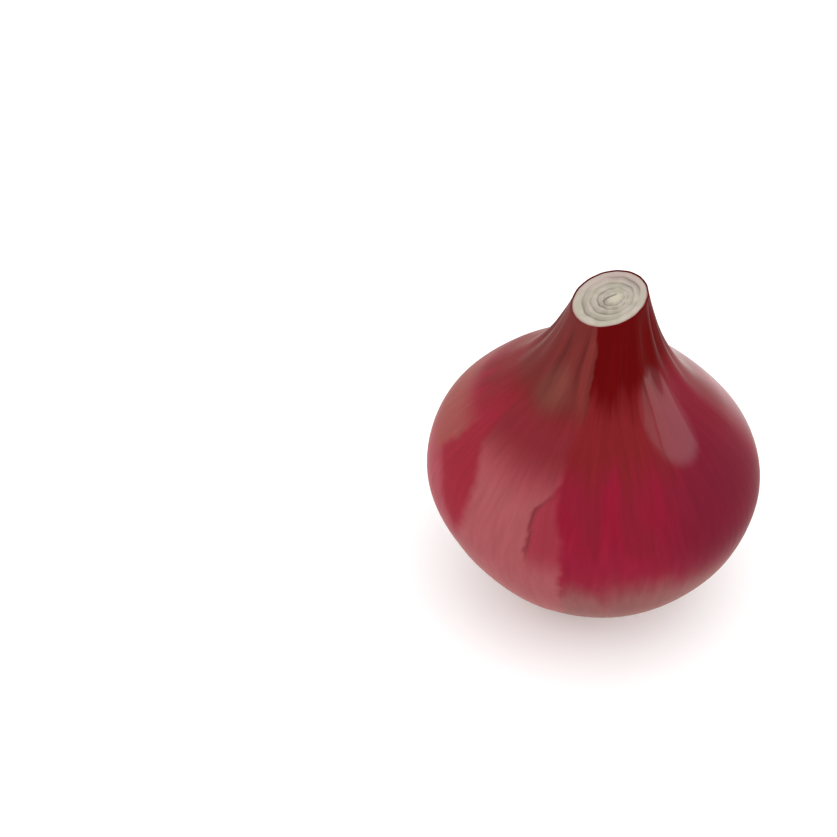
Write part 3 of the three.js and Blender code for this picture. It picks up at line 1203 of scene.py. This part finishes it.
@dataclass(frozen=True)
class RootTuft:
    """The root plate with its tuft of dry roots, pressed on the surface by the onion's weight."""

    finish: DryRootFinish = field(default_factory=DryRootFinish)
    plate: Stops = (
        (0, 0), (4.8, 0), (5.9, 0.8), (6.4, 1.7), (5.4, 2.8), (0, 2.8),
    )
    plate_radius: float = 6.4
    plate_top: float = 2.8
    plate_sides: int = 48
    plate_unevenness: float = 0.03
    count: int = 170
    base_radius: float = 0.42
    tip_radius: float = 0.14
    thickness: Span = (0.7, 1.15)
    reach: Span = (1.2, 4.3)
    start_inside: float = 1.8
    start_margin: float = 0.5
    bend_reach: float = 0.4
    bend_rise: Span = (0.7, 1.1)
    bend_sideways: float = 0.8
    end_sideways: float = 2.6
    end_gap: float = 0.12
    end_rise: float = 0.45
    kink: float = 0.07
    table_gap: float = 0.05
    seed: int = 23
    sides: int = 6
    steps: int = 7

    def plate_mesh(self) -> tuple[np.ndarray, Faces]:
        """Gives the root plate's points in mm and its faces."""
        outline = np.array(self.plate, float)
        azimuth = np.linspace(0, 2 * math.pi, self.plate_sides, endpoint=False)[None, :]
        radius = outline[:, :1] * (1 + self.plate_unevenness * np.sin(5 * azimuth))
        height = outline[:, 1:] + 0 * azimuth
        points = np.stack([radius * np.cos(azimuth), radius * np.sin(azimuth), height], -1)
        return single_poles(points), ring_faces(len(outline), self.plate_sides)

    def root(self, draw: np.random.Generator, azimuth: float) -> tuple[np.ndarray, Faces]:
        """Gives one tapered, bent root.

        Args:
            draw: The seeded source of random numbers.
            azimuth: Angle round the plate in radians.

        Returns:
            Points in mm and faces.
        """
        outward = np.array([math.cos(azimuth), math.sin(azimuth), 0])
        sideways = np.array([-math.sin(azimuth), math.cos(azimuth), 0])
        height = draw.uniform(self.start_margin, self.plate_top - self.start_margin)
        reach = draw.uniform(*self.reach)
        start = outward * (self.plate_radius - self.start_inside) + [0, 0, height]
        bend = outward * (self.plate_radius + self.bend_reach * reach)
        bend = bend + [0, 0, height * draw.uniform(*self.bend_rise)]
        bend = bend + sideways * draw.uniform(-self.bend_sideways, self.bend_sideways)
        end = outward * (self.plate_radius + reach)
        end = end + sideways * draw.uniform(-self.end_sideways, self.end_sideways)
        end = end + [0, 0, self.tip_radius + self.end_gap + draw.uniform(0, self.end_rise) * height]
        share = np.linspace(0, 1, self.steps + 1)[:, None]
        path = (1 - share) ** 2 * start + 2 * share * (1 - share) * bend + share**2 * end
        path[1:-1] += draw.normal(0, self.kink, (self.steps - 1, 3))
        forward = np.gradient(path, axis=0)
        forward /= np.linalg.norm(forward, axis=1)[:, None]
        level = np.stack([forward[:, 1], -forward[:, 0], 0 * forward[:, 0]], 1)
        level /= np.linalg.norm(level, axis=1)[:, None]
        up = np.cross(level, forward)
        angle = np.linspace(0, 2 * math.pi, self.sides, endpoint=False)[None, :, None]
        thick = self.base_radius * draw.uniform(*self.thickness) * (1 - share) + self.tip_radius * share
        around = np.cos(angle) * level[:, None] + np.sin(angle) * up[:, None]
        rings = path[:, None] + thick[:, None] * around
        rings[..., 2] = np.maximum(rings[..., 2], self.table_gap)
        ends = [np.repeat(path[i][None, None], self.sides, axis=1) for i in (0, -1)]
        points = single_poles(np.concatenate([ends[0], rings, ends[1]]))
        return points, ring_faces(self.steps + 3, self.sides)

    def build(self) -> bpy.types.Object:
        """Builds and dresses the tuft.

        Returns:
            The tuft, standing for its solid.
        """
        draw = np.random.default_rng(self.seed)
        parts = [self.plate_mesh()]
        parts += [self.root(draw, GOLDEN_TURN * i + draw.uniform(-0.2, 0.2)) for i in range(self.count)]
        points: list[np.ndarray] = []
        faces: Faces = []
        offset = 0
        for part_points, part_faces in parts:
            points.append(part_points)
            faces += [tuple(i + offset for i in face) for face in part_faces]
            offset += len(part_points)
        piece = mesh_piece("dry_roots", np.vstack(points), faces)
        piece.data.materials.append(self.finish.make())
        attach(piece, "root")
        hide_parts("root_tuft")
        return piece


@dataclass(frozen=True)
class SoftPanel:
    """A flat soft light that faces the onion.

    Attributes:
        name: What the light is.
        azimuth: Where its middle stands, in degrees from +X towards +Y.
        elevation: Degrees from the table up to its middle.
        wide: Degrees across, seen from the onion.
        tall: Degrees up and down, seen from the onion.
        brightness: How bright it looks, where a white table is about 1.
        distance: Metres from the onion's middle.
    """

    name: str
    azimuth: float
    elevation: float
    wide: float
    tall: float
    brightness: float
    distance: float = 1.3

    def build(self, target: Triple) -> bpy.types.Object:
        """Hangs the light.

        Args:
            target: The point it faces, in metres.

        Returns:
            The light.
        """
        around = math.radians(self.azimuth)
        above = math.radians(self.elevation)
        data = bpy.data.lights.new(self.name, "AREA")
        data.shape = "RECTANGLE"
        data.size = 2 * self.distance * math.tan(math.radians(self.wide / 2))
        data.size_y = 2 * self.distance * math.tan(math.radians(self.tall / 2))
        data.energy = self.brightness * math.pi * data.size * data.size_y
        light = bpy.data.objects.new(self.name, data)
        flat = self.distance * math.cos(above)
        light.location = (
            target[0] + flat * math.cos(around),
            target[1] + flat * math.sin(around),
            target[2] + self.distance * math.sin(above),
        )
        light.rotation_euler = (math.pi / 2 - above, 0, around + math.pi / 2)
        light.visible_camera = False
        bpy.context.scene.collection.objects.link(light)
        return light


@dataclass(frozen=True)
class Studio:
    """The pale table, the lights and the camera."""

    target: Triple = (0.0, 0.0, 0.045)
    camera_place: Triple = (-41.8, -220.4, 241.1)
    camera_pitch: float = 41.0
    lens_pixels: float = 1250.0
    picture_pixels: float = 837.0
    sensor: float = 36.0
    nearest_seen: float = 0.01
    table_back: float = 1600.0
    table_front: float = 420.0
    table_finish: OpalAcrylicFinish = field(default_factory=OpalAcrylicFinish)
    # how bright the room is in front of the onion and behind it, and where it turns from one to the other
    front_room: float = 1.05
    back_room: float = 1.14
    room_turn: Span = (-0.3, 0.4)
    panels: tuple[SoftPanel, ...] = (
        SoftPanel("overhead_panel", -90, 86, 58, 58, 0.4),
        SoftPanel("left_window", -152, 29, 59, 54, 0.8),
        SoftPanel("right_window", -4, 25, 17, 38, 1.9),
        SoftPanel("right_side_window", -29, 31, 17, 24, 1.1),
    )

    def build(self) -> None:
        """Builds the table, the lights, the surroundings and the camera."""
        side, front = self.table_back, self.table_front
        corners = [(-side, -front, 0), (side, -front, 0), (side, side, 0), (-side, side, 0)]
        table = mesh_piece("table", np.array(corners, float), [(0, 1, 2, 3)])
        table.data.materials.append(self.table_finish.make())
        for panel in self.panels:
            panel.build(self.target)
        self.surroundings()
        self.camera()

    def surroundings(self) -> None:
        """Fills the room with even light, a little brighter behind the onion than in front of it."""
        world = bpy.data.worlds.new("room")
        bpy.context.scene.world = world
        world.use_nodes = True
        tree = world.node_tree
        direction = add_node(tree, "ShaderNodeTexCoord").outputs["Generated"]
        behind = add_node(tree, "ShaderNodeSeparateXYZ", None, {0: direction}).outputs["Y"]
        turn_from, turn_to = self.room_turn
        strength = add_node(
            tree, "ShaderNodeMapRange", {"interpolation_type": "SMOOTHSTEP"},
            {
                "Value": behind, "From Min": turn_from, "From Max": turn_to,
                "To Min": self.front_room, "To Max": self.back_room,
            },
        )
        background = tree.nodes["Background"]
        background.inputs["Color"].default_value = (1, 1, 1, 1)
        tree.links.new(strength.outputs["Result"], background.inputs["Strength"])

    def camera(self) -> None:
        """Sets the camera at the photo's viewing angle."""
        data = bpy.data.cameras.new("photo_camera")
        data.sensor_width = self.sensor
        data.lens = self.sensor * self.lens_pixels / self.picture_pixels
        data.clip_start = self.nearest_seen
        camera = bpy.data.objects.new("photo_camera", data)
        camera.location = [c * MM for c in self.camera_place]
        camera.rotation_euler = (math.radians(90 - self.camera_pitch), 0, 0)
        bpy.context.scene.collection.objects.link(camera)
        bpy.context.scene.camera = camera
        bpy.context.scene.view_settings.view_transform = "Standard"


def main() -> None:
    """Builds the onion and its studio."""
    logging.basicConfig(level=logging.INFO, format="%(name)s %(message)s")
    for part in (DrySkin(), CutScales(), RootTuft()):
        piece = part.build()
        log.info("%s: %d faces", piece.name, len(piece.data.polygons))
    studio = Studio()
    studio.build()
    log.info("studio: %d lights", len(studio.panels))


if __name__ == "__main__":
    main()
